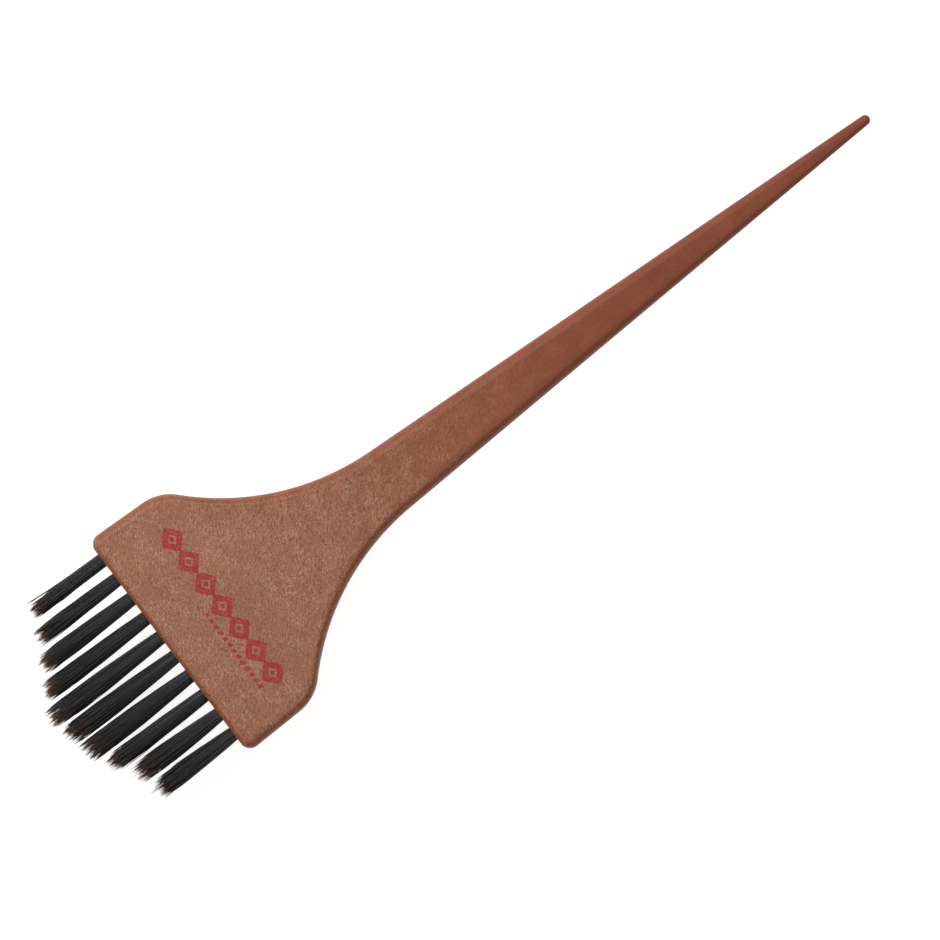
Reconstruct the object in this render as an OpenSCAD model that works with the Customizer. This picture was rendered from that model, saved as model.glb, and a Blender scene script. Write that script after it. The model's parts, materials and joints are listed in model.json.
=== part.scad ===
// Flat tint brush for applying hair colour.
// One moulded piece is both the wide head and the tapered tail. A single row of tufts is
// set into the front face of the head. Each tuft is a bundle of filaments folded over a
// short flat wire, and the wire's ends bite into the wall of the tuft's own socket.
//
// Frame: +Y runs along the handle to the tip of its tail, and the tufts point to -Y.
// +X runs across the head and +Z up through its thickness. The underside of the head lies
// on z = 0, and the origin is midway between the longest tuft's end and the tail's tip.

/* [Handle outline] */
// Length of the handle, from the front face of its head to the tip of its tail
handle_l = 190; // [150:1:240]
// Width of the head across its front edge
head_w = 57.3; // [46:0.1:70]
// Length of the nearly straight sides of the head
side_l = 14.3; // [12:0.1:20]
// Angle by which each side of the head draws in towards the grip
side_draft = 1.8; // [0:0.1:4]
// Radius of the rounded shoulders behind the head
shoulder_r = 10.5; // [7:0.1:13]
// Radius of the hollow sweep from each shoulder into the grip
sweep_r = 57; // [48:0.5:70]
// Angle by which each side of the grip draws in towards the tail
grip_taper = 2.8; // [2:0.1:3.1]
// Width of the tail just before its rounded tip
tail_w = 2.2; // [1.8:0.1:4]
// Radius of the two front corners of the head, seen from above
corner_r = 2.5; // [1:0.1:4]

/* [Handle thickness] */
// Thickness of the flat head
head_t = 7.5; // [6:0.1:10]
// How much thinner than the head the grip is, where the sweep ends
grip_thinning = 0.9; // [0:0.1:2]
// Thickness of the tail just before its rounded tip
tail_t = 2.3; // [1.8:0.1:4]
// Radius of the rounded edges along the front of the head
front_edge_r = 1.5; // [0.8:0.1:3]
// Radius of the rounded edges along the sides of the head
side_edge_r = 2.2; // [1:0.1:2.6]
// Radius of the rounded edges along the grip
grip_edge_r = 2.4; // [1:0.1:3]

/* [Sockets] */
// Number of tufts in the row
tuft_n = 10; // [6:1:11]
// Distance from the side of the head to the axis of the outermost socket
row_margin = 5.15; // [4:0.05:7]
// Sideways offset of the row from the centre line of the handle
row_shift = -0.1; // [-1:0.1:1]
// Diameter of the sockets
socket_d = 3.7; // [3.2:0.05:4.5]
// Least flat left between the mouth of a socket and the rounded edge of the head
front_lip = 0.3; // [0.1:0.05:1]
// Depth of the sockets to the start of their pointed bottom
socket_depth = 10.5; // [8:0.1:13]
// Included angle of the pointed bottom
point_angle = 118; // [90:1:135]

/* [Tufts] */
// Length of the longest tuft beyond the front face of the head
bristle_l = 30; // [20:0.5:40]
// Angle at which the tips fall away on each side of the crown
crown_angle = 29.3; // [0:0.1:35]
// How much the peak of the crown is rounded off
crown_round = 2.4; // [0.5:0.1:6]
// Sideways offset of the crown's peak from the centre line of the handle
crown_shift = 0.8; // [-3:0.1:3]
// Share of a tuft's length at which it is widest
belly_place = 0.65; // [0.5:0.01:0.75]
// Gap between the two widest neighbouring tufts
tuft_gap = 0.6; // [0.4:0.05:1]
// Angle that a tuft can swing up or down from straight
flex_angle = 25; // [10:1:30]

/* [Anchors] */
// How far each end of an anchor bites into the wall of its socket
anchor_bite = 0.2; // [0.1:0.01:0.3]
// Thickness of the anchor's flat wire
anchor_t = 0.35; // [0.2:0.01:0.5]
// Width of the flat wire, measured along the socket
anchor_h = 1.6; // [1:0.1:2]
// Corner cut off each driven end, so that the wire bites its way in
anchor_chamfer = 0.3; // [0.1:0.01:0.4]
// Angle by which the anchors are turned out of the line of the row
anchor_turn = 35; // [20:1:70]
// Height of the folded loop of filaments that lies below an anchor
loop_h = 1.4; // [1:0.1:2]

/* [Clearances] */
// Gap all round between a folded bundle and the wall of its socket
root_clear = 0.05; // [0.02:0.01:0.1]
// Gap left at the mouth of the socket when a tuft swings all the way
swing_clear = 0.08; // [0.05:0.01:0.12]
// Gap between a tuft's ball end and the folded bundle behind it
ball_clear = 0.2; // [0.1:0.05:0.4]

/* [Hidden] */
total_l = handle_l + bristle_l;
y_front = bristle_l - total_l / 2;
z_mid = head_t / 2;
grip_t = head_t - grip_thinning;
pitch = (head_w - 2 * row_margin) / (tuft_n - 1);
socket_r = socket_d / 2;
// The front edges are rounded off no further than the flat around the sockets allows.
rim_r = min(front_edge_r, z_mid - socket_r - front_lip);
// The ball end stays inside the socket's mouth at the limit of its swing.
tuft_r = (socket_r - swing_clear) * cos(flex_angle);
tip_r = (tail_w + tail_t) / 4;
corner_steps = 6;
front_steps = 7;
shoulder_steps = 8;
sweep_steps = 16;
grip_steps = 16;
tip_steps = 6;
tuft_steps = 12;
overshoot = 1;

function label(name, i) = str(name, i < 10 ? "_0" : "_", i);
ROW = [for (i = [1:tuft_n]) i];

function smooth(t) = t <= 0 ? 0 : t >= 1 ? 1 : t * t * (3 - 2 * t);
function mix(a, b, t) = a + (b - a) * t;
// Drop of a quarter circle of radius r, a distance s from where it starts.
function round_off(r, s) = s >= r ? 0 : r - sqrt(r * r - (r - s) * (r - s));

// Outline of one side: [distance behind the front face, half width]. The straight side runs
// tangent into the shoulder arc, that into the sweep arc, and that into the straight grip.
side_dir = [sin(side_draft), cos(side_draft)];
grip_dir = [sin(grip_taper), cos(grip_taper)];
grip_along = [cos(grip_taper), -sin(grip_taper)];
side_end = [side_l, head_w / 2 - side_l * tan(side_draft)];
shoulder_c = side_end - shoulder_r * side_dir;
grip_start = [0, tail_w / 2 + handle_l * tan(grip_taper)];
sweep_off = grip_start + sweep_r * grip_dir - shoulder_c;
sweep_in = sweep_off * grip_dir;
arcs_r = shoulder_r + sweep_r;
sweep_c = shoulder_c + sweep_in * grip_dir + sqrt(arcs_r * arcs_r - sweep_in * sweep_in) * grip_along;
arcs_meet = shoulder_c + (sweep_c - shoulder_c) * shoulder_r / arcs_r;
arcs_angle = atan2(sweep_c.x - shoulder_c.x, sweep_c.y - shoulder_c.y);
sweep_end = (sweep_c - sweep_r * grip_dir).x;
tip_start = handle_l - tip_r;

function outline(s) =
    s <= side_l ? head_w / 2 - s * tan(side_draft)
    : s <= arcs_meet.x ? shoulder_c.y + sqrt(pow(shoulder_r, 2) - pow(s - shoulder_c.x, 2))
    : s <= sweep_end ? sweep_c.y - sqrt(pow(sweep_r, 2) - pow(s - sweep_c.x, 2))
    : tail_w / 2 + (handle_l - s) * tan(grip_taper);

// How far along the sweep a station lies, from 0 at the head to 1 at the grip.
function neck(s) = smooth((s - arcs_meet.x) / (sweep_end - arcs_meet.x));
function thickness(s) =
    s <= sweep_end ? mix(head_t, grip_t, neck(s))
    : mix(grip_t, tail_t, (s - sweep_end) / (handle_l - sweep_end));
function tip(s) = s <= tip_start ? 1 : sqrt(1 - pow((s - tip_start) / tip_r, 2));

function half_w(s) = (outline(s) - round_off(corner_r, s)) * tip(s);
function half_t(s) = (thickness(s) / 2 - round_off(rim_r, s)) * tip(s);
// The edge radius shrinks to nothing at the front face, and is limited by the section.
function edge_r(s) =
    let (full = mix(side_edge_r, grip_edge_r, neck(s)) * (1 - round_off(rim_r, s) / rim_r))
    max(0.04, min(full, 0.96 * half_w(s), 0.96 * half_t(s)));

stations = concat(
    [for (k = [0:front_steps]) corner_r * (1 - cos(90 * k / front_steps))],
    [for (k = [0:shoulder_steps])
        shoulder_c.x + shoulder_r * sin(mix(side_draft, arcs_angle, k / shoulder_steps))],
    [for (k = [1:sweep_steps]) sweep_c.x - sweep_r * sin(mix(arcs_angle, grip_taper, k / sweep_steps))],
    [for (k = [1:grip_steps]) mix(sweep_end, tip_start, k / grip_steps)],
    [for (k = [1:tip_steps]) tip_start + tip_r * sin(85 * k / tip_steps)]
);

// One closed ring of points: a rectangle with rounded corners across the handle.
function ring(s) =
    let (w = half_w(s), t = half_t(s), r = edge_r(s))
    [for (q = [0:3]) for (k = [0:corner_steps])
        let (a = 90 * q + 90 * k / corner_steps, sx = q == 0 || q == 3 ? 1 : -1, sz = q < 2 ? 1 : -1)
        [sx * (w - r) + r * cos(a), y_front + s, z_mid + sz * (t - r) + r * sin(a)]];

module handle_blank() {
    n = 4 * (corner_steps + 1);
    last = (len(stations) - 1) * n;
    points = [for (s = stations) each ring(s)];
    sides = [for (k = [0:len(stations) - 2]) for (j = [0:n - 1])
        let (a = k * n + j, b = k * n + (j + 1) % n)
        each [[a, b, b + n], [a, b + n, a + n]]];
    caps = [[for (j = [n - 1:-1:0]) j], [for (j = [0:n - 1]) last + j]];
    polyhedron(points, concat(sides, caps), convexity = 4);
}

// Places its children at the mouth of socket i, with +Z pointing into the socket.
function row_x(i) = row_shift + (i - (tuft_n + 1) / 2) * pitch;
module at_socket(i) {
    translate([row_x(i), y_front, z_mid]) rotate([-90, 0, 0]) children();
}

module socket() {
    translate([0, 0, -overshoot]) cylinder(h = socket_depth + overshoot, r = socket_r, $fn = 64);
    translate([0, 0, socket_depth])
        cylinder(h = socket_r / tan(point_angle / 2), r1 = socket_r, r2 = 0, $fn = 64);
}

// A cut length of flat wire across the socket, with its two leading corners cut off.
module anchor_wire() {
    half_l = socket_r + anchor_bite;
    seat = socket_depth - loop_h;
    rotate([0, 0, anchor_turn]) rotate([90, 0, 0])
        linear_extrude(height = anchor_t, center = true)
            polygon([
                [-half_l, seat - anchor_h],
                [half_l, seat - anchor_h],
                [half_l, seat - anchor_chamfer],
                [half_l - anchor_chamfer, seat],
                [anchor_chamfer - half_l, seat],
                [-half_l, seat - anchor_chamfer]
            ]);
}

module handle() {
    color("sienna") difference() {
        handle_blank();
        for (i = ROW) at_socket(i) socket();
        for (i = ROW) at_socket(i) anchor_wire();
    }
}

module anchor(i) {
    color("silver") at_socket(i) anchor_wire();
}

// The folded end of a tuft: a round bundle that fills the socket from behind the ball end
// to the loop of filaments under the anchor.
module tuft_root(i) {
    r = socket_r - root_clear;
    loop_start = socket_depth - loop_h;
    color("dimgray") at_socket(i) difference() {
        rotate_extrude($fn = 64) polygon(concat(
            [[0, tuft_r + ball_clear], [r, tuft_r + ball_clear]],
            [for (k = [0:tuft_steps - 1])
                [r * cos(90 * k / tuft_steps), loop_start + loop_h * sin(90 * k / tuft_steps)]],
            [[0, socket_depth]]
        ));
        anchor_wire();
    }
}

// Fall of the crowned outline below its peak, at a place x across the row.
function crown_fall(x) = sqrt(pow(crown_round, 2) + pow((x - crown_shift) * tan(crown_angle), 2));
least_fall = min([for (i = ROW) crown_fall(row_x(i))]);
function tuft_l(i) = bristle_l + least_fall - crown_fall(row_x(i));
// The longest tuft spreads until it nearly meets its neighbours, a shorter one spreads less.
function belly_r(i) = mix(tuft_r, (pitch - tuft_gap) / 2, tuft_l(i) / bristle_l);

// The free bristles of a tuft: a ball end in the socket's mouth, about which they bend,
// then a bundle that spreads to its belly and closes to a rounded end.
module tuft(i) {
    belly = belly_r(i);
    belly_l = tuft_l(i) * belly_place;
    end_l = tuft_l(i) - belly_l;
    color("black") at_socket(i) mirror([0, 0, 1]) rotate_extrude($fn = 64) polygon(concat(
        [for (k = [0:tuft_steps])
            [tuft_r * sin(90 * k / tuft_steps), -tuft_r * cos(90 * k / tuft_steps)]],
        [for (k = [1:tuft_steps])
            [mix(tuft_r, belly, smooth(k / tuft_steps)), belly_l * k / tuft_steps]],
        [for (k = [1:tuft_steps - 1])
            [belly * cos(90 * k / tuft_steps), belly_l + end_l * sin(90 * k / tuft_steps)]],
        [[0, belly_l + end_l]]
    ));
}

handle();
for (i = ROW) anchor(i);
for (i = ROW) tuft_root(i);
for (i = ROW) tuft(i);
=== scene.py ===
import json
import math
import random

import bpy
import numpy as np
from mathutils import Matrix, Vector


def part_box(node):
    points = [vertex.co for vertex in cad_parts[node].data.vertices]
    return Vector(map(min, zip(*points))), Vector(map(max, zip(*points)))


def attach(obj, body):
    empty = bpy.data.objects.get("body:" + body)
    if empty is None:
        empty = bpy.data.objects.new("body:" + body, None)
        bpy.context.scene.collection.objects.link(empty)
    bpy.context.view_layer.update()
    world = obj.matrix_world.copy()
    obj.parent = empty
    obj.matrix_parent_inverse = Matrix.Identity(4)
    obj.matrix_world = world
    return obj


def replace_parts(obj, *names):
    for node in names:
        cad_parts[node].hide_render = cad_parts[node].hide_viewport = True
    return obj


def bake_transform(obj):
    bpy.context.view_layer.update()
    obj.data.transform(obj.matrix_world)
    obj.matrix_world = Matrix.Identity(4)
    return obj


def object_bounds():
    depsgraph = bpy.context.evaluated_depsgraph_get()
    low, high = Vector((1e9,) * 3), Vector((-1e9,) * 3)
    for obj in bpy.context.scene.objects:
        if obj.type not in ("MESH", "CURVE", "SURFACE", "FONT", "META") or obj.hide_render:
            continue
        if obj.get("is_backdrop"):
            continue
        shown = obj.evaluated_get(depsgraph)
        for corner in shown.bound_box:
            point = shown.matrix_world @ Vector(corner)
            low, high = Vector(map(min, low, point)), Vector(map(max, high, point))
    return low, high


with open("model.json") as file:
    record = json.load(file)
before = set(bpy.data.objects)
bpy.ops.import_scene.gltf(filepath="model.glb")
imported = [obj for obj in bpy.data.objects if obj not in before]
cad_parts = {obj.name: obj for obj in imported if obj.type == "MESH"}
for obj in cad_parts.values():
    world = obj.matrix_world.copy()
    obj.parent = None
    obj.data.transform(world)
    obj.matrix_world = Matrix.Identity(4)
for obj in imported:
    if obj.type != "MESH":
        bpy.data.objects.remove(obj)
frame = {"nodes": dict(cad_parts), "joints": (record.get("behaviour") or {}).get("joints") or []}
cad_low, cad_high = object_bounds()


# ---------------------------------------------------------------------------------------
# The handle. One moulding of brown plastic filled with ground wood: a flat head that
# sweeps into a slim tail. The flats keep the fine grain of the mould, the rounded edges
# come out smoother and redder and carry painted shade, and a hair of flash runs round
# where the mould closed.
# ---------------------------------------------------------------------------------------
MM = 0.001
handle_low, handle_high = (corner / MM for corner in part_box("handle"))
FRONT_Y = handle_low.y
LENGTH = handle_high.y - handle_low.y
MID_Z = (handle_low.z + handle_high.z) / 2
HEAD_W = 57.3
SIDE_L = 14.3
SIDE_DRAFT = math.radians(1.8)
SHOULDER_R = 10.5
SWEEP_R = 57.0
GRIP_TAPER = math.radians(2.8)
TAIL_W = 2.2
CORNER_R = 2.5
HEAD_T = handle_high.z - handle_low.z
GRIP_THINNING = 0.9
GRIP_T = HEAD_T - GRIP_THINNING
TAIL_T = 2.3
FRONT_EDGE_R = 1.5
SIDE_EDGE_R = 2.2
GRIP_EDGE_R = 2.4
LEAST_EDGE_R = 0.03
ROUNDED_SHARE = 0.97
TIP_R = (TAIL_W + TAIL_T) / 4
FLASH_H = 0.045
FLASH_W = 0.16
FLASH_WALL = 0.6
FLASH_SHARE = 0.6
FLASH_LIP = 0.4


def toward(angle):
    """Unit vector in the outline's plane, (along the handle, across it), from straight across."""
    return Vector((math.sin(angle), math.cos(angle)))


# The straight side, the shoulder arc, the sweep arc and the straight grip, each tangent to
# the next, as (distance behind the front face, half width).
side_end = Vector((SIDE_L, HEAD_W / 2 - SIDE_L * math.tan(SIDE_DRAFT)))
shoulder_c = side_end - SHOULDER_R * toward(SIDE_DRAFT)
grip_from = Vector((0, TAIL_W / 2 + LENGTH * math.tan(GRIP_TAPER)))
arcs_r = SHOULDER_R + SWEEP_R
sweep_in = (grip_from + SWEEP_R * toward(GRIP_TAPER) - shoulder_c).dot(toward(GRIP_TAPER))
sweep_on = math.sqrt(arcs_r**2 - sweep_in**2)
sweep_c = shoulder_c + sweep_in * toward(GRIP_TAPER) + sweep_on * toward(GRIP_TAPER + math.pi / 2)
arcs_meet = shoulder_c.lerp(sweep_c, SHOULDER_R / arcs_r)
arcs_angle = math.atan2(sweep_c.x - shoulder_c.x, sweep_c.y - shoulder_c.y)
sweep_end = (sweep_c - SWEEP_R * toward(GRIP_TAPER)).x
tip_start = LENGTH - TIP_R


def smooth(t):
    t = min(max(t, 0.0), 1.0)
    return t * t * (3 - 2 * t)


def mix(a, b, t):
    return a + (b - a) * t


def round_off(radius, s):
    """Drop of a quarter circle, a distance s from where it starts."""
    return 0.0 if s >= radius else radius - math.sqrt(radius**2 - (radius - s) ** 2)


def tail_share(s):
    return 1.0 if s <= tip_start else math.sqrt(max(0.0, 1 - ((s - tip_start) / TIP_R) ** 2))


def half_width(s):
    if s <= SIDE_L:
        w = HEAD_W / 2 - s * math.tan(SIDE_DRAFT)
    elif s <= arcs_meet.x:
        w = shoulder_c.y + math.sqrt(SHOULDER_R**2 - (s - shoulder_c.x) ** 2)
    elif s <= sweep_end:
        w = sweep_c.y - math.sqrt(SWEEP_R**2 - (s - sweep_c.x) ** 2)
    else:
        w = TAIL_W / 2 + (LENGTH - s) * math.tan(GRIP_TAPER)
    return (w - round_off(CORNER_R, s)) * tail_share(s)


def neck_share(s):
    return smooth((s - arcs_meet.x) / (sweep_end - arcs_meet.x))


def half_thickness(s):
    if s <= sweep_end:
        t = mix(HEAD_T, GRIP_T, neck_share(s))
    else:
        t = mix(GRIP_T, TAIL_T, (s - sweep_end) / (LENGTH - sweep_end))
    return (t / 2 - round_off(FRONT_EDGE_R, s)) * tail_share(s)


def edge_radius(s):
    front_share = 1 - round_off(FRONT_EDGE_R, s) / FRONT_EDGE_R
    full = mix(SIDE_EDGE_R, GRIP_EDGE_R, neck_share(s)) * front_share
    most = ROUNDED_SHARE * min(half_width(s), half_thickness(s))
    return max(LEAST_EDGE_R, min(full, most))


# Stations along the handle, close together where the outline bends.
GRIP_SEAM = 66.0
CORNER_STEPS = 16
SIDE_STEPS = 8
SHOULDER_STEPS = 30
SWEEP_STEPS = 80
NECK_STEPS = 5
GRIP_STEPS = 100
TIP_STEPS = 12
TIP_TURN = math.radians(86)
stations = [
    CORNER_R * (1 - math.cos(math.pi / 2 * k / CORNER_STEPS)) for k in range(CORNER_STEPS + 1)
]
stations += [mix(CORNER_R, SIDE_L, k / SIDE_STEPS) for k in range(1, SIDE_STEPS)]
for k in range(SHOULDER_STEPS + 1):
    angle = mix(SIDE_DRAFT, arcs_angle, k / SHOULDER_STEPS)
    stations.append(shoulder_c.x + SHOULDER_R * math.sin(angle))
for k in range(1, SWEEP_STEPS + 1):
    angle = mix(arcs_angle, GRIP_TAPER, k / SWEEP_STEPS)
    stations.append(sweep_c.x - SWEEP_R * math.sin(angle))
stations += [mix(sweep_end, GRIP_SEAM, k / NECK_STEPS) for k in range(1, NECK_STEPS + 1)]
stations += [mix(GRIP_SEAM, tip_start, k / GRIP_STEPS) for k in range(1, GRIP_STEPS + 1)]
stations += [
    tip_start + TIP_R * math.sin(TIP_TURN * k / TIP_STEPS) for k in range(1, TIP_STEPS + 1)
]

ARC_STEPS = 10
FLAT_STEPS = 14
SKIN_W = 0.7
SKIN_SHARE = 0.3


def half_ring(s):
    """The upper half of the section, from the flash on one side to the flash on the other."""
    w, t, r = half_width(s), half_thickness(s), edge_radius(s)
    wall = t - r
    flash, flash_w = FLASH_H * smooth(wall / FLASH_WALL), min(FLASH_W, wall * FLASH_SHARE)
    side = [(w + flash, 0.0), (w + FLASH_LIP * flash, flash_w / 2), (w, flash_w)]
    for k in range(ARC_STEPS + 1):
        a = math.pi / 2 * k / ARC_STEPS
        side.append((w - r + r * math.cos(a), wall + r * math.sin(a)))
    inner = w - r - min(SKIN_W, SKIN_SHARE * (w - r))
    flat = [(inner * (1 - 2 * k / FLAT_STEPS), t) for k in range(FLAT_STEPS + 1)]
    return side + flat + [(-x, z) for x, z in reversed(side)]


def mesh_object(name, points, faces):
    """A new object from points in millimetres in the brush's own frame."""
    mesh = bpy.data.meshes.new(name)
    mesh.from_pydata([Vector(p) * MM for p in points], [], faces)
    mesh.update()
    made = bpy.data.objects.new(name, mesh)
    bpy.context.scene.collection.objects.link(made)
    return made


def loft(rings):
    """Faces that join closed rings of equal size, end to end, and close both ends."""
    n = len(rings[0])
    faces = [tuple(reversed(range(n)))]
    for k in range(len(rings) - 1):
        for j in range(n):
            a, b = k * n + j, k * n + (j + 1) % n
            faces.append((a, b, b + n, a + n))
    faces.append(tuple(range(len(rings) * n - n, len(rings) * n)))
    return [p for ring in rings for p in ring], faces


rings = []
for s in stations:
    upper = half_ring(s)
    lower = [(x, -z) for x, z in reversed(upper[1:-1])]
    rings.append([(x, FRONT_Y + s, MID_Z + z) for x, z in upper + lower])
handle = mesh_object("handle_moulding", *loft(rings))

# The moulded sockets, with a slightly rounded mouth and a pointed bottom.
SOCKET_R = 1.85
SOCKET_DEPTH = 10.5
MOUTH_R = 0.15
MOUTH_STEPS = 4
SOCKET_SIDES = 48
PIN_POINT = math.radians(59)
PIN_TIP_R = 0.02
PIN_LEAD = 1.0
SHARP_TURN = math.radians(40)
point_depth = SOCKET_DEPTH + SOCKET_R / math.tan(PIN_POINT)
sockets = [Vector(joint["pos_m"]) / MM for joint in frame["joints"]]
profile = [(SOCKET_R + MOUTH_R, -PIN_LEAD), (SOCKET_R + MOUTH_R, 0.0)]
for k in range(1, MOUTH_STEPS + 1):
    a = math.pi / 2 * k / MOUTH_STEPS
    profile.append((SOCKET_R + MOUTH_R * (1 - math.sin(a)), MOUTH_R * (1 - math.cos(a))))
profile += [(SOCKET_R, SOCKET_DEPTH), (PIN_TIP_R, point_depth)]
core_points, core_faces = [], []
for mouth in sockets:
    pin = []
    for radius, depth in profile:
        ring = []
        for k in range(SOCKET_SIDES):
            a = 2 * math.pi * k / SOCKET_SIDES
            ring.append(mouth + Vector((radius * math.cos(a), depth, radius * math.sin(a))))
        pin.append(ring)
    points, faces = loft(pin)
    core_faces += [tuple(i + len(core_points) for i in face) for face in faces]
    core_points += points
core = mesh_object("socket_pins", core_points, core_faces)
cut = handle.modifiers.new("sockets", "BOOLEAN")
cut.operation = "DIFFERENCE"
cut.solver = "EXACT"
cut.object = core
cut_handle = handle.evaluated_get(bpy.context.evaluated_depsgraph_get())
handle_mesh = bpy.data.meshes.new_from_object(cut_handle)
handle.modifiers.clear()
handle.data = handle_mesh
bpy.data.objects.remove(core)
for face in handle_mesh.polygons:
    face.use_smooth = True
handle_mesh.set_sharp_from_angle(angle=SHARP_TURN)

# For the finish: how far each point has turned from the flat into the rounded edge, and how
# deep it lies in the band along the edge that is tinted darker and redder, partly for its
# smooth skin and partly as painted shade.
SKIN_FADE = 1.0
edge_turn = handle_mesh.attributes.new("edge_turn", "FLOAT", "POINT")
edge_skin = handle_mesh.attributes.new("edge_skin", "FLOAT", "POINT")
for vertex in handle_mesh.vertices:
    x, y, z = vertex.co / MM
    s = y - FRONT_Y
    r = edge_radius(s)
    past = abs(x) - (half_width(s) - r)
    turn = math.asin(min(1.0, max(0.0, past / r)))
    front = math.asin(min(1.0, max(0.0, 1 - s / FRONT_EDGE_R)))
    edge_turn.data[vertex.index].value = max(turn, front) / (math.pi / 2)
    deep = (max(past, FRONT_EDGE_R - s) + SKIN_W) / (SKIN_W + SKIN_FADE)
    edge_skin.data[vertex.index].value = min(1.0, max(0.0, deep))


# A flat layout of the surface, in millimetres on one square sheet: the head's two sides, the
# grip's two sides, the front and the sockets.
SHEET = 136.0
HEAD_ON_SHEET = (1, 33.5)
UNDER_HEAD_ON_SHEET = (GRIP_SEAM + 3, 33.5)
GRIP_ON_SHEET = (1, 78)
UNDER_GRIP_ON_SHEET = (1, 100)
SOCKETS_ON_SHEET = (70, 114)
FRONT_ON_SHEET = (31, 118)
FRONT_DEPTH = 0.01


def around(x, z, s):
    """Distance round the section from the middle of a flat, and its sign."""
    w, t, r = half_width(s), half_thickness(s), edge_radius(s)
    flat = w - r
    if abs(x) <= flat:
        return x
    up = abs(z) - (t - r)
    if up <= 0:
        run = flat + r * math.pi / 2 - up
    else:
        run = flat + r * math.asin(min(1.0, max(0.0, (abs(x) - flat) / r)))
    return math.copysign(run, x)


layout = handle_mesh.uv_layers.new(name="OFBake")
for face in handle_mesh.polygons:
    centre = face.center / MM
    s_mid = centre.y - FRONT_Y
    nearest = min(sockets, key=lambda m: abs(m.x - centre.x))
    off_axis = math.hypot(centre.x - nearest.x, centre.z - nearest.z)
    in_socket = off_axis < SOCKET_R + MOUTH_R and 0.1 * FRONT_DEPTH < s_mid < point_depth
    upper = centre.z > MID_Z
    head_at = HEAD_ON_SHEET if upper else UNDER_HEAD_ON_SHEET
    grip_at = GRIP_ON_SHEET if upper else UNDER_GRIP_ON_SHEET
    for corner in face.loop_indices:
        x, y, z = handle_mesh.vertices[handle_mesh.loops[corner].vertex_index].co / MM
        s, z = y - FRONT_Y, z - MID_Z
        if in_socket:
            turn = math.atan2(z - (nearest.z - MID_Z), x - nearest.x)
            mid_turn = math.atan2(centre.z - nearest.z, centre.x - nearest.x)
            turn += 2 * math.pi * round((mid_turn - turn) / (2 * math.pi))
            corner_at, u, v = SOCKETS_ON_SHEET, turn * SOCKET_R, s
        elif s_mid < FRONT_DEPTH:
            corner_at, u, v = FRONT_ON_SHEET, x, z
        elif s_mid < GRIP_SEAM:
            corner_at, u, v = head_at, s, around(x, z, s)
        else:
            corner_at, u, v = grip_at, s - GRIP_SEAM, around(x, z, s)
        layout.data[corner].uv = ((corner_at[0] + u) / SHEET, (corner_at[1] + v) / SHEET)


class Wire:
    """An output socket of a shader node. Arithmetic on it adds Math nodes to its material."""

    def __init__(self, socket):
        self.socket = socket

    def node(self, kind, settings, inputs, out=0):
        """Adds any node to the same material: its settings first, then its sockets."""
        tree = self.socket.id_data
        made = tree.nodes.new(kind)
        for key, value in settings.items():
            if key == "stops":
                ramp = made.color_ramp.elements
                while len(ramp) < len(value):
                    ramp.new(0.5)
                for stop, (place, colour) in zip(ramp, value):
                    stop.position, stop.color = place, colour
            else:
                setattr(made, key, value)
        for key, value in inputs.items():
            if isinstance(value, Wire):
                tree.links.new(value.socket, made.inputs[key])
            else:
                made.inputs[key].default_value = value
        return Wire(made.outputs[out])

    def math(self, operation, first, second=0.0):
        return self.node("ShaderNodeMath", {"operation": operation}, {0: first, 1: second})

    def __add__(self, other):
        return self.math("ADD", self, other)

    def __radd__(self, other):
        return self.math("ADD", other, self)

    def __sub__(self, other):
        return self.math("SUBTRACT", self, other)

    def __rsub__(self, other):
        return self.math("SUBTRACT", other, self)

    def __mul__(self, other):
        return self.math("MULTIPLY", self, other)

    def __rmul__(self, other):
        return self.math("MULTIPLY", other, self)

    def over(self, other):
        """The greater of two masks."""
        return self.math("MAXIMUM", self, other)

    def step(self, low, high):
        """A mask that rises smoothly from 0 at low to 1 at high."""
        settings = {"interpolation_type": "SMOOTHSTEP"}
        return self.node("ShaderNodeMapRange", settings, {0: self, 1: low, 2: high})

    def blend(self, under, upper, how="MIX"):
        """One colour over another where this mask is high."""
        settings = {"data_type": "RGBA", "blend_type": how}
        return self.node("ShaderNodeMix", settings, {0: self, 6: under, 7: upper}, 2)

    def shade(self, colour, amount):
        """A colour made darker or lighter by this value, about 0.5."""
        factor = (self - 0.5) * amount + 1.0
        grey = self.node("ShaderNodeCombineColor", {}, {0: factor, 1: factor, 2: factor})
        settings = {"data_type": "RGBA", "blend_type": "MULTIPLY"}
        return self.node("ShaderNodeMix", settings, {0: 1.0, 6: colour, 7: grey}, 2)

    def noise(self, scale, detail=2.0, rough=0.6, squash=(1, 1, 1), turn=0.0):
        """Noise in millimetres on this vector, stretched and turned about the vertical."""
        placed = self.node(
            "ShaderNodeMapping", {"vector_type": "TEXTURE"},
            {0: self, 2: (0, 0, turn), 3: tuple(v * MM for v in squash)},
        )
        inputs = {"Vector": placed, "Scale": scale, "Detail": detail, "Roughness": rough}
        return self.node("ShaderNodeTexNoise", {}, inputs)


def paint(red, green, blue):
    """A colour from its usual 0 to 255 values, as the linear colour a shader takes."""
    return (*(((v / 255 + 0.055) / 1.055) ** 2.4 for v in (red, green, blue)), 1.0)


def finish(name, output, **constants):
    """A new material, its principled shader with those sockets set, and a first wire."""
    made = bpy.data.materials.new(name)
    made.use_nodes = True
    tree = made.node_tree
    shader = tree.nodes["Principled BSDF"]
    for key, value in constants.items():
        shader.inputs[key.replace("_", " ")].default_value = value
    return made, shader, Wire(tree.nodes.new("ShaderNodeTexCoord").outputs[output])


def feed(shader, key, wire):
    shader.id_data.links.new(wire.socket, shader.inputs[key])


# From lighter and greyer at the head to darker and redder at the tail: partly the paler, grainier
# head, partly painted sheen on the head.
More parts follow.
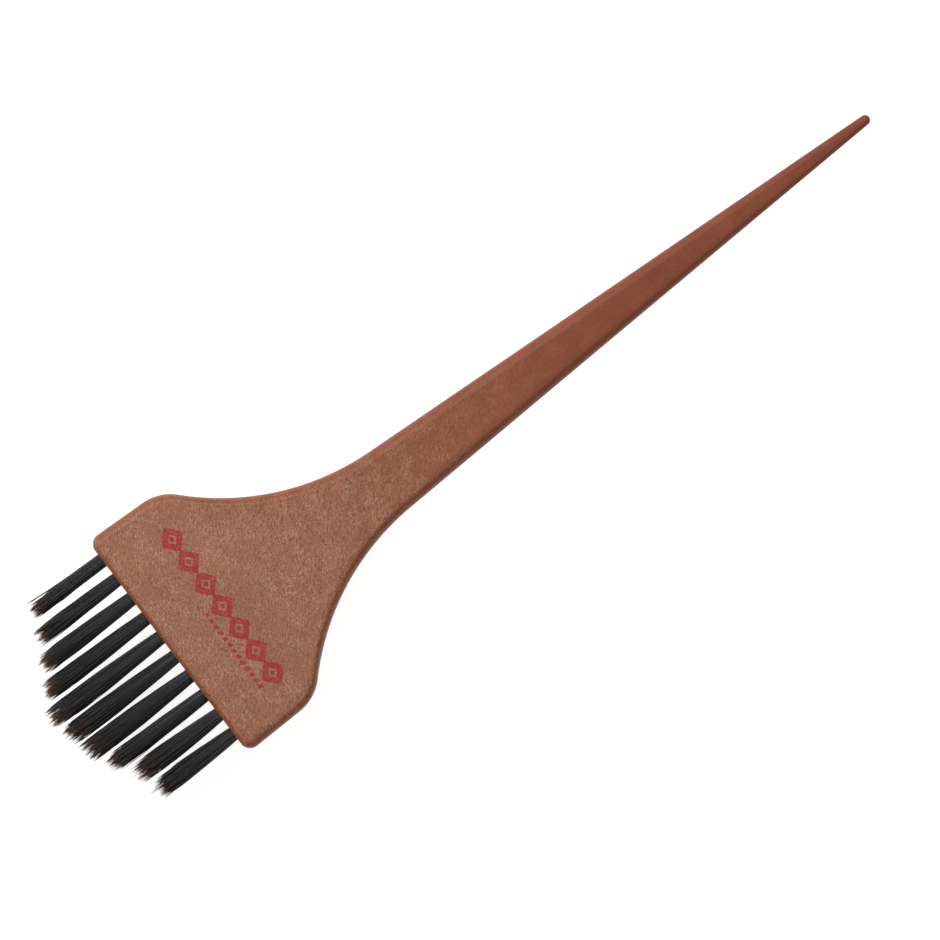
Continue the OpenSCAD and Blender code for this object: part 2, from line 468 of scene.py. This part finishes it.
HEAD_BROWN = paint(155, 102, 77)
NECK_BROWN = paint(146, 86, 58)
GRIP_BROWN = paint(139, 73, 46)
TAIL_BROWN = paint(137, 71, 46)
BROWN_STOPS = [
    (0.0, HEAD_BROWN), (0.2, HEAD_BROWN), (0.38, NECK_BROWN), (0.6, GRIP_BROWN),
    (1.0, TAIL_BROWN),
]
# Darker, redder tint of the rounded edges: partly their smoother skin, partly painted shade.
SKIN_AND_SHADE_TINT = (0.77, 0.51, 0.29, 1.0)
FIBRE_TAN = paint(218, 182, 156)
DARK_SPECK = paint(92, 50, 38)
# The fibres lie mostly one way in the head, where the melt flowed across it. Each lay is a
# turn from that way and a length; the neck has a few long ones along the handle. Ranges along
# the handle are distances behind the front face.
FLOW_TURN = 0.92
FIBRE_LAYS = ((-0.1, 1.1), (0.35, 0.8), (-0.5, 0.7), (1.2, 0.6))
FIBRE_W = 0.13
FIBRE_STEP = (0.68, 0.74)
LONG_FIBRE_L = 6.0
LONG_FIBRE_TURN = 0.04
LONG_FIBRE_STEP = (0.77, 0.81)
SPECK_STEP = (0.75, 0.80)
PATCH_STEP = (0.4, 0.62)
STREAK = (0.3, 1.1, 0.3)
GRAIN_PER_MM = 3.6
SPECKS_PER_MM = 1.9
PATCHES_PER_MM = 0.3
CLOUDS_PER_MM = 0.14
COARSE_ENDS = (35.0, 120.0)
FINE_SHARE = 0.7
NECK_STARTS = (46.0, 56.0)
NECK_ENDS = (70.0, 84.0)


def fibre_plastic(place):
    """Colour, height and edge mask of the fibre-filled plastic at a place on the brush."""
    along = place.node("ShaderNodeSeparateXYZ", {}, {0: place}, "Y") * (1 / MM) - FRONT_Y
    body = place.node("ShaderNodeValToRGB", {"stops": BROWN_STOPS}, {0: along * (1 / LENGTH)})
    edge = place.node("ShaderNodeAttribute", {"attribute_name": "edge_turn"}, {}, "Fac")
    skin_shade_mask = place.node("ShaderNodeAttribute", {"attribute_name": "edge_skin"}, {}, "Fac")
    coarse = 1 - along.step(*COARSE_ENDS) * FINE_SHARE
    grain = place.noise(GRAIN_PER_MM, 2.0, 0.7)
    streaks = place.noise(1.0, 2.0, 0.6, STREAK, FLOW_TURN)
    cloud = place.noise(CLOUDS_PER_MM, 2.0)
    relief = ((grain - 0.5) * 1.5 + (streaks - 0.5) * 1.3) * coarse * (1 - edge * 0.7) + 0.5
    # The edge band, tinted darker and redder: partly the smooth skin, partly painted shade.
    skin_shade_mask = skin_shade_mask.step(0.0, 1.0) * (1 - edge.step(0.7, 1.0) * 0.5) * coarse
    colour = skin_shade_mask.blend(body, SKIN_AND_SHADE_TINT, "MULTIPLY")
    colour = relief.shade(cloud.shade(colour, 0.45), 1.25)
    fibres = None
    for turn, length in FIBRE_LAYS:
        lay = place.noise(1.0, 0.0, 0.5, (FIBRE_W, length, FIBRE_W), FLOW_TURN + turn)
        lay = lay.step(*FIBRE_STEP)
        fibres = lay if fibres is None else fibres.over(lay)
    patch = place.noise(PATCHES_PER_MM, 2.0).step(*PATCH_STEP) * (1 - edge * 0.8)
    fibres = fibres * coarse * coarse * (patch * 0.75 + 0.25)
    neck = along.step(*NECK_STARTS) * (1 - along.step(*NECK_ENDS))
    long_lay = place.noise(1.0, 0.0, 0.5, (FIBRE_W, LONG_FIBRE_L, FIBRE_W), LONG_FIBRE_TURN)
    fibres = fibres.over(long_lay.step(*LONG_FIBRE_STEP) * neck * 0.6)
    # A thin pale line in the fibre tan where the flat turns into the edge: a painted highlight.
    painted_ridge_highlight = edge.step(0.0, 0.12) * (1 - edge.step(0.14, 0.34)) * coarse
    colour = (fibres * 0.5).over(painted_ridge_highlight * relief * 0.25).blend(colour, FIBRE_TAN)
    specks = place.noise(SPECKS_PER_MM, 0.0).step(*SPECK_STEP) * coarse
    colour = (specks * 0.45).blend(colour, DARK_SPECK)
    return colour, relief + fibres * 0.4, edge


plastic, shader, place = finish(
    "wood_filled_plastic", "Object", IOR=1.48, Specular_IOR_Level=0.3
)
colour, height, edge = fibre_plastic(place)
feed(shader, "Base Color", colour)
feed(shader, "Roughness", 0.58 - edge.step(0.05, 0.5) * 0.1 + (height - 0.5) * 0.12)
bump = {"Strength": 0.4, "Distance": 0.04 * MM, "Height": height}
feed(shader, "Normal", place.node("ShaderNodeBump", {}, bump))
handle_mesh.materials.clear()
handle_mesh.materials.append(plastic)
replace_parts(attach(handle, "handle"), "handle")


# ---------------------------------------------------------------------------------------
# The print on the head. A pad print in red ink, a few hundredths of a millimetre thick: a
# plain band of lozenges with a dashed rule below it. The ink covers the grain unevenly and
# its edges are slightly ragged.
# ---------------------------------------------------------------------------------------
INK_TOP = handle_high.z + 0.02
INK_BOTTOM = handle_high.z - 0.01
BAND_Y = FRONT_Y + 14.8
BAND_HALF_H = 2.7
LOZENGES = 7
LOZENGE_PITCH = 6.0
INK_STROKE = 1.1
SOFTNESS = 1.12
RULE_Y = FRONT_Y + 11.0
RULE_HALF_H = 0.5
RULE_X = -1.0
RULE_PITCH = 1.6
RULE_DASHES = 13
DASH_W = 0.9
DASH_LEAN = 0.3
DOT_HALF_W = 0.62
DOT_HALF_H = 0.58
LOZENGE_STEPS = 72
DOT_STEPS = 20
SIDE_POINTS = 4
LOZENGE_LAP = 0.1
INK_CREEP = 0.045
DASH_CREEP = 0.06
ink_random = random.Random(7)
ink_points, ink_faces = [], []


def ragged(traced, creep=INK_CREEP):
    """An outline with each point moved a little, as ink creeps on a grained face."""
    return [
        Vector(p) + Vector([ink_random.uniform(-creep, creep) for axis in "xy"]) for p in traced
    ]


def ink_patch(outer, inner=None):
    """A thin closed film inside an outline, or between an outline and an inner one."""
    base, n = len(ink_points), len(outer)
    loops = [outer] if inner is None else [outer, inner]
    for outline in loops:
        for z in (INK_BOTTOM, INK_TOP):
            ink_points.extend((p.x, p.y, z) for p in outline)
    for j in range(n):
        i = (j + 1) % n
        ink_faces.append((base + j, base + i, base + n + i, base + n + j))
        if inner is not None:
            hole = base + 2 * n
            ink_faces.append((hole + i, hole + j, hole + n + j, hole + n + i))
            ink_faces.append((base + n + j, base + n + i, hole + n + i, hole + n + j))
            ink_faces.append((base + i, base + j, hole + j, hole + i))
    if inner is None:
        ink_faces.append(tuple(base + n + j for j in range(n)))
        ink_faces.append(tuple(base + j for j in reversed(range(n))))


def lozenge(x, half_w, half_h, steps):
    """A lozenge with soft corners: a superellipse whose sides are almost straight."""
    traced = []
    for k in range(steps):
        c, s = math.cos(2 * math.pi * k / steps), math.sin(2 * math.pi * k / steps)
        across, up = (math.copysign(abs(v) ** (2 / SOFTNESS), v) for v in (c, s))
        traced.append((x + half_w * across, BAND_Y + half_h * up))
    return ragged(traced)


half_w = LOZENGE_PITCH / 2 + LOZENGE_LAP
hole = 1 - INK_STROKE * math.sqrt(2) / BAND_HALF_H
for k in range(LOZENGES):
    x = (k - (LOZENGES - 1) / 2) * LOZENGE_PITCH
    outer = lozenge(x, half_w, BAND_HALF_H, LOZENGE_STEPS)
    ink_patch(outer, lozenge(x, half_w * hole, BAND_HALF_H * hole, LOZENGE_STEPS))
    ink_patch(lozenge(x, DOT_HALF_W, DOT_HALF_H, DOT_STEPS))
for k in range(RULE_DASHES):
    x = RULE_X + RULE_PITCH * k
    low, high = RULE_Y - RULE_HALF_H, RULE_Y + RULE_HALF_H
    lean = x + DASH_LEAN
    corners = [(x, low), (x + DASH_W, low), (lean + DASH_W, high), (lean, high)]
    sides = zip(corners, corners[1:] + corners[:1])
    traced = [
        Vector(a).lerp(Vector(b), j / SIDE_POINTS) for a, b in sides for j in range(SIDE_POINTS)
    ]
    ink_patch(ragged(traced, DASH_CREEP))
band = mesh_object("print_band", ink_points, ink_faces)

INK_RED = paint(168, 44, 42)
ink, shader, place = finish("pad_print_ink", "Object", IOR=1.5, Specular_IOR_Level=0.35)
under, height, _ = fibre_plastic(place)
thin_ink = place.noise(2.6, 2.0, 0.7).step(0.47, 0.68)
red = place.noise(1.3, 2.0).shade(INK_RED, 0.8)
feed(shader, "Base Color", (thin_ink * 0.6).blend(red, under))
feed(shader, "Roughness", thin_ink * 0.15 + 0.5)
feed(shader, "Normal", place.node("ShaderNodeBump", {}, bump | {"Height": height}))
band.data.materials.append(ink)
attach(band, "handle")


# ---------------------------------------------------------------------------------------
# The anchors. Short lengths of flat steel wire, cropped from a coil and driven across each
# socket to hold the folded filaments. They are bright drawn wire with fine lengthwise lines.
# ---------------------------------------------------------------------------------------
WIRE_GREY = paint(176, 176, 178)
LINE_W = 0.05
LINE_L = 4.0
drawn_wire, shader, place = finish("drawn_flat_wire", "Object", Metallic=1.0)
lines = place.noise(1.0, 3.0, 0.6, (LINE_L, LINE_W, LINE_L), 0.6)
feed(shader, "Base Color", lines.shade(WIRE_GREY, 0.4))
feed(shader, "Roughness", lines * 0.25 + 0.2)
feed(shader, "Normal", place.node("ShaderNodeBump", {}, {"Distance": 0.01 * MM, "Height": lines}))
for number in range(1, len(sockets) + 1):
    anchor = frame["nodes"][f"anchor_{number:02d}"]
    anchor.data.materials.clear()
    anchor.data.materials.append(drawn_wire)


# ---------------------------------------------------------------------------------------
# The tufts. Black nylon filaments, folded in half over an anchor and driven into a socket.
# They spread a little, gather into fine points at their ends, and the tapered ends are worn
# thin; their brown is painted light passing through the thin ends. The row is trimmed to a crown.
# ---------------------------------------------------------------------------------------
STRAND_R = 0.09
STRAND_SIDES = 5
FOLDS = 110
BUNDLE_R = 1.56
BELLY_HALF_T = 2.15
BELLY_AT = 0.7
BELLY_RISE = 1.35
END_STEPS = 13
END_CROWDING = 0.85
GATHER_L = 4.0
TAPER_L = 2.6
TAPER = 0.84
CROWN_SLOPE = math.tan(math.radians(29.3))
CROWN_ROUND = 2.4
CROWN_SHIFT = 0.8
# Width across the belly of each tuft, and how much longer it is than the even crown.
BELLY_W = (3.5, 4.0, 4.45, 4.45, 4.9, 4.9, 5.05, 4.2, 4.9, 4.75)
EXTRA_L = (1.3, 1.0, 1.2, 1.2, 1.7, 0.3, 1.1, 0.9, 0.4, 1.7)
# How free ends vary: the cut follows the crown a little, a tuft's outermost ends and those
# far from the middle of their clump are shorter, some are cut short, and a few are wild.
TRIM_LEAN = 0.15
OUTERMOST_DROP = 0.5
CLUMP_DROPS = (0.5, 3.0)
CUT_MEAN = -0.15
CUT_SCATTER = 0.4
SHORT_SHARE = 0.12
SHORT_DROPS = (0.5, 3.0)
STRAY = 0.12
WILD_SHARE = 0.03
WILD_STRAY = 3.5
WILD_EXTRA_L = 0.4
STRAY_BEND = 2.5
GATHERS = (0.55, 0.95)
WAVES = (0.03, 0.10)
WAVE_TURNS = (0.45, 0.37)
# Filaments that stand off the outer side of the first tuft.
LOOSE_FROM = 0.93
LOOSE_SHARE = 0.6
LOOSE_STRAYS = (0.4, 1.1)
LOOSE_EXTRA_L = (0.2, 0.8)
GOLDEN = math.pi * (3 - math.sqrt(5))


def crown(x):
    """Length of the trimmed bristles at a place across the row."""
    fall = math.sqrt(CROWN_ROUND**2 + ((x - CROWN_SHIFT) * CROWN_SLOPE) ** 2) - CROWN_ROUND
    return (FRONT_Y - cad_low.y / MM) - fall


def free_end(mouth, offset, number, clumps, dice):
    """Points of one free filament end, as (x, distance out, z), and its radii."""
    belly_w = BELLY_W[number] / 2 - STRAND_R
    spread = Vector((offset[0] / BUNDLE_R * belly_w, offset[1] / BUNDLE_R * BELLY_HALF_T))
    clump = min(clumps, key=lambda c: (c[0] - spread).length)
    longest = crown(mouth.x + TRIM_LEAN * spread.x) + EXTRA_L[number]
    longest -= OUTERMOST_DROP * (spread.x / belly_w) ** 6
    drop = clump[1] + (clump[0] - spread).length * dice.uniform(*CLUMP_DROPS)
    length = longest - drop + dice.gauss(CUT_MEAN, CUT_SCATTER)
    if dice.random() < SHORT_SHARE:
        length -= dice.uniform(*SHORT_DROPS)
    stray = Vector((dice.gauss(0, STRAY), dice.gauss(0, STRAY)))
    if dice.random() < WILD_SHARE:
        stray *= WILD_STRAY
        length += WILD_EXTRA_L
    gather = dice.uniform(*GATHERS)
    if number == 0 and spread.x < -LOOSE_FROM * belly_w and dice.random() < LOOSE_SHARE:
        stray.x -= dice.uniform(*LOOSE_STRAYS)
        length = longest + dice.uniform(*LOOSE_EXTRA_L)
        gather = 0.0
    phase, wave = dice.uniform(0, 2 * math.pi), dice.uniform(*WAVES)
    points, radii = [], []
    for k in range(1, END_STEPS + 1):
        d = length * (k / END_STEPS) ** END_CROWDING
        share = min(1.0, d / (BELLY_AT * longest))
        swell = share * (BELLY_RISE - (BELLY_RISE - 1) * share * share)
        at = Vector(offset).lerp(spread, swell)
        at = at.lerp(clump[0], gather * smooth((d - (length - GATHER_L)) / GATHER_L))
        at += stray * (d / length) ** STRAY_BEND
        at.x += wave * math.sin(phase + d * WAVE_TURNS[0]) * (d / length)
        at.y += wave * math.cos(phase + d * WAVE_TURNS[1]) * (d / length)
        points.append((mouth.x + at.x, mouth.y - d, mouth.z + at.y))
        radii.append(STRAND_R * (1 - TAPER * smooth((d - (length - TAPER_L)) / TAPER_L)))
    return points, radii


# Inside the socket a filament closes in on the wire by these shares and depths, to its seat.
ANCHOR_TURN = math.radians(35)
WIRE_HALF_T = 0.175
SEAT = 9.1
ROOT_SPREAD = 1.7
LOOP_H = 1.25
LOOP_STEPS = 6
DOWN = ((0.0, -0.3), (0.0, 0.0), (0.35, 2.5), (1.0, 6.5), (1.0, SEAT))
CLUMPS = 28
CLUMP_JITTER = 0.2
CLUMP_SHORTNESS = 2.2


def about_wire(along, off):
    """Offset in the socket from how far along the anchor wire and how far off it."""
    c, s = math.cos(ANCHOR_TURN), math.sin(ANCHOR_TURN)
    return (along * c - off * s, along * s + off * c)


def strand_paths(number, mouth, dice):
    """Every filament of a tuft from one end, down round its anchor, to the other end."""
    clumps = []
    for k in range(CLUMPS):
        r = math.sqrt((k + 0.5) / CLUMPS)
        a = k * GOLDEN + dice.uniform(-CLUMP_JITTER, CLUMP_JITTER)
        centre = Vector((r * math.cos(a) * BELLY_W[number] / 2, r * math.sin(a) * BELLY_HALF_T))
        clumps.append((centre, CLUMP_SHORTNESS * dice.random() ** 1.5))
    paths = []
    for k in range(2 * FOLDS):
        r, a = BUNDLE_R * math.sqrt((k + 0.5) / (2 * FOLDS)), k * GOLDEN
        u, v = r * math.cos(a), r * math.sin(a)
        if v < 0:
            continue
        off_wire = mix(WIRE_HALF_T + STRAND_R, ROOT_SPREAD, v / BUNDLE_R)
        room = math.sqrt(max(0.0, ROOT_SPREAD**2 - off_wire**2))
        u_seat = max(-room, min(room, u))
        ends = []
        for side in (1, -1):
            offset, seat = about_wire(u, side * v), about_wire(u_seat, side * off_wire)
            points, radii = free_end(mouth, offset, number, clumps, dice)
            down = []
            for share, depth in DOWN:
                x, z = (mix(p, q, share) for p, q in zip(offset, seat))
                down.append((mouth.x + x, mouth.y + depth, mouth.z + z))
            ends.append((points[::-1] + down, radii[::-1] + [STRAND_R] * len(down)))
        loop = []
        for j in range(1, LOOP_STEPS):
            a = math.pi * j / LOOP_STEPS
            x, z = about_wire(u_seat, off_wire * math.cos(a))
            depth = SEAT + off_wire / ROOT_SPREAD * LOOP_H * math.sin(a)
            loop.append((mouth.x + x, mouth.y + depth, mouth.z + z))
        (first, first_r), (last, last_r) = ends
        paths.append((first + loop + last[::-1], first_r + [STRAND_R] * len(loop) + last_r[::-1]))
    return paths


def tubes(paths):
    """Closed tubes round many paths of equal point count, and how many rings each has."""
    line = np.array([path for path, _ in paths])
    radius = np.array([radii for _, radii in paths])
    count, rings_n = line.shape[:2]
    tangent = np.gradient(line, axis=1)
    tangent /= np.linalg.norm(tangent, axis=2, keepdims=True)
    normal = np.zeros_like(line)
    normal[:, 0] = (0.0, 0.0, 1.0)
    for k in range(rings_n):
        if k:
            normal[:, k] = normal[:, k - 1]
        along = (normal[:, k] * tangent[:, k]).sum(axis=1, keepdims=True)
        normal[:, k] -= along * tangent[:, k]
        normal[:, k] /= np.linalg.norm(normal[:, k], axis=1, keepdims=True)
    across = np.cross(tangent, normal)
    turn = np.arange(STRAND_SIDES) * 2 * np.pi / STRAND_SIDES
    ring = normal[:, :, None] * np.cos(turn)[:, None] + across[:, :, None] * np.sin(turn)[:, None]
    points = line[:, :, None] + radius[:, :, None, None] * ring
    faces = []
    for strand in range(count):
        base = strand * rings_n * STRAND_SIDES
        faces.append(tuple(base + j for j in reversed(range(STRAND_SIDES))))
        for k in range(rings_n - 1):
            for j in range(STRAND_SIDES):
                a = base + k * STRAND_SIDES
                b = a + (j + 1) % STRAND_SIDES
                faces.append((a + j, b, b + STRAND_SIDES, a + j + STRAND_SIDES))
        end = base + (rings_n - 1) * STRAND_SIDES
        faces.append(tuple(end + j for j in range(STRAND_SIDES)))
    return points.reshape(-1, 3), faces, rings_n


# Along a filament: lighter bluish black at the socket as painted reflection, then black,
# darker towards the tip, then brown at the tip as painted light through the thin worn end.
NYLON_STOPS = [
    (0.0, paint(42, 46, 50)), (0.12, paint(37, 38, 40)), (0.5, paint(31, 30, 30)),
    (0.7, paint(23, 21, 20)), (0.86, paint(19, 16, 14)), (0.94, paint(64, 41, 26)),
    (1.0, paint(152, 114, 80)),
]
nylon, shader, place = finish("black_nylon", "UV", IOR=1.53, Specular_IOR_Level=0.4)
strand_map = place.node("ShaderNodeUVMap", {"uv_map": "OFBake"}, {})
tone = place.node("ShaderNodeSeparateXYZ", {}, {0: strand_map}, "X")
to_tip = place.node("ShaderNodeSeparateXYZ", {}, {0: strand_map}, "Y")
lengthwise = place.node("ShaderNodeValToRGB", {"stops": NYLON_STOPS}, {0: to_tip - tone * 0.03})
feed(shader, "Base Color", tone.shade(lengthwise, 3.5))
feed(shader, "Roughness", tone * 0.2 + 0.33)

# Each filament has its own tone, which lightens or darkens its colour: a middle one, a slow
# and a quick wave across the tuft, each with its height and its turns, a scatter, and a few
# much lighter ones. The lighter streaks are partly painted glints, the few lighter filaments
# wholly painted glints.
STRAND_TONES = 48
TONE_MID = 0.43
TONE_LOW = 0.2
TONE_HIGH = 0.999
TONE_SCATTER = 0.15
SLOW_WAVE = (0.13, 9)
QUICK_WAVE = (0.1, 21)
GLINT_SHARE = 0.12
GLINT_TONE = 0.4
FIRST_SEED = 100
for number, mouth in enumerate(sockets):
    name = f"{number + 1:02d}"
    dice = random.Random(FIRST_SEED + number)
    paths = strand_paths(number, mouth, dice)
    points, faces, rings_n = tubes(paths)
    tuft = mesh_object("bristles_" + name, points.tolist(), faces)
    mesh = tuft.data
    tones = []
    beat, ripple = dice.uniform(0, 2 * math.pi), dice.uniform(0, 2 * math.pi)
    for path, _ in paths:
        across = path[0][0] - mouth.x
        slow = SLOW_WAVE[0] * math.sin(SLOW_WAVE[1] * across + beat)
        quick = QUICK_WAVE[0] * math.sin(QUICK_WAVE[1] * across + ripple)
        painted_glint = GLINT_TONE if dice.random() < GLINT_SHARE else 0.0
        level = TONE_MID + painted_glint + (slow + quick) + dice.gauss(0, TONE_SCATTER)
        level = min(TONE_HIGH, max(TONE_LOW, level))
        tones.append((math.floor(level * STRAND_TONES) + 0.5) / STRAND_TONES)
    # The map's width holds the tone of each filament, its height the way to the tip.
    out = FRONT_Y - points[:, 1]
    by_ring = out.reshape(len(paths), rings_n, STRAND_SIDES).max(axis=2)
    fold = rings_n // 2
    reach = np.stack((by_ring[:, :fold].max(axis=1), by_ring[:, fold:].max(axis=1)), axis=1)
    vertex = np.empty(len(mesh.loops), np.int32)
    mesh.loops.foreach_get("vertex_index", vertex)
    strand, ring = np.divmod(vertex // STRAND_SIDES, rings_n)
    end_reach = reach[strand, (ring >= fold).astype(int)]
    tone_and_way = np.empty((len(mesh.loops), 2), np.float32)
    tone_and_way[:, 0] = np.array(tones)[strand]
    tone_and_way[:, 1] = np.clip(out[vertex] / end_reach, 0.0, 1.0)
    mesh.uv_layers.new(name="OFBake").uv.foreach_set("vector", tone_and_way.ravel())
    for face in mesh.polygons:
        face.use_smooth = True
    mesh.materials.append(nylon)
    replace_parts(tuft, "tuft_" + name, "tuft_root_" + name)
    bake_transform(tuft)


# ---------------------------------------------------------------------------------------
# The studio. The brush is held a finger's width over a lit white table, under one wide soft
# light at its upper left and a pale room. The camera looks straight down through a long lens.
# ---------------------------------------------------------------------------------------
TABLE_HALF = 3.0
TABLE_Z = -0.0105
TABLE_GREY = (0.45, 0.45, 0.45, 1.0)
PURE_WHITE = (1.0, 1.0, 1.0, 1.0)
corners = [(x * TABLE_HALF, y * TABLE_HALF) for x, y in ((-1, -1), (1, -1), (1, 1), (-1, 1))]
table = mesh_object("table", [(x / MM, y / MM, TABLE_Z / MM) for x, y in corners], [(0, 1, 2, 3)])
white, shader, _ = finish("lit_table", "Object", Roughness=0.6, Emission_Strength=0.85)
shader.inputs["Base Color"].default_value = TABLE_GREY
shader.inputs["Emission Color"].default_value = PURE_WHITE
table.data.materials.append(white)
table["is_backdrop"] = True

UP_IN_VIEW = Vector((-0.7976, 0.6032, 0))
RIGHT_IN_VIEW = Vector((0.6032, 0.7976, 0))


def soft_light(name, place, size, watts):
    """A square lamp that faces the middle of the brush."""
    lamp = bpy.data.lights.new(name, "AREA")
    lamp.size = size
    lamp.energy = watts
    made = bpy.data.objects.new(name, lamp)
    made.location = place
    made.rotation_euler = (-place).to_track_quat("-Z", "Y").to_euler()
    bpy.context.scene.collection.objects.link(made)


key_side = (UP_IN_VIEW - RIGHT_IN_VIEW).normalized()
soft_light("key", key_side * 0.5 + Vector((0, -0.05, 0.45)), size=0.35, watts=3.6)
soft_light("top", Vector((0.1, 0.1, 1.3)), size=1.2, watts=3.0)

ROOM_LIGHT = 0.24
room = bpy.data.worlds.new("pale_room")
room.use_nodes = True
room.node_tree.nodes["Background"].inputs["Color"].default_value = PURE_WHITE
room.node_tree.nodes["Background"].inputs["Strength"].default_value = ROOM_LIGHT
bpy.context.scene.world = room
bpy.context.scene.view_settings.view_transform = "Standard"

VIEW_CENTRE = Vector((0.00881, -0.00492, MID_Z * MM))
VIEW_WIDTH = 0.2033
DISTANCE = 1.2
SENSOR = 36.0
camera_data = bpy.data.cameras.new("camera")
camera_data.sensor_width = SENSOR
camera_data.lens = SENSOR * DISTANCE / VIEW_WIDTH
camera_data.clip_end = 20.0
camera = bpy.data.objects.new("camera", camera_data)
turn = Matrix((RIGHT_IN_VIEW, UP_IN_VIEW, Vector((0, 0, 1)))).transposed()
camera.matrix_world = Matrix.Translation(VIEW_CENTRE + Vector((0, 0, DISTANCE))) @ turn.to_4x4()
bpy.context.scene.collection.objects.link(camera)
bpy.context.scene.camera = camera

low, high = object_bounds()
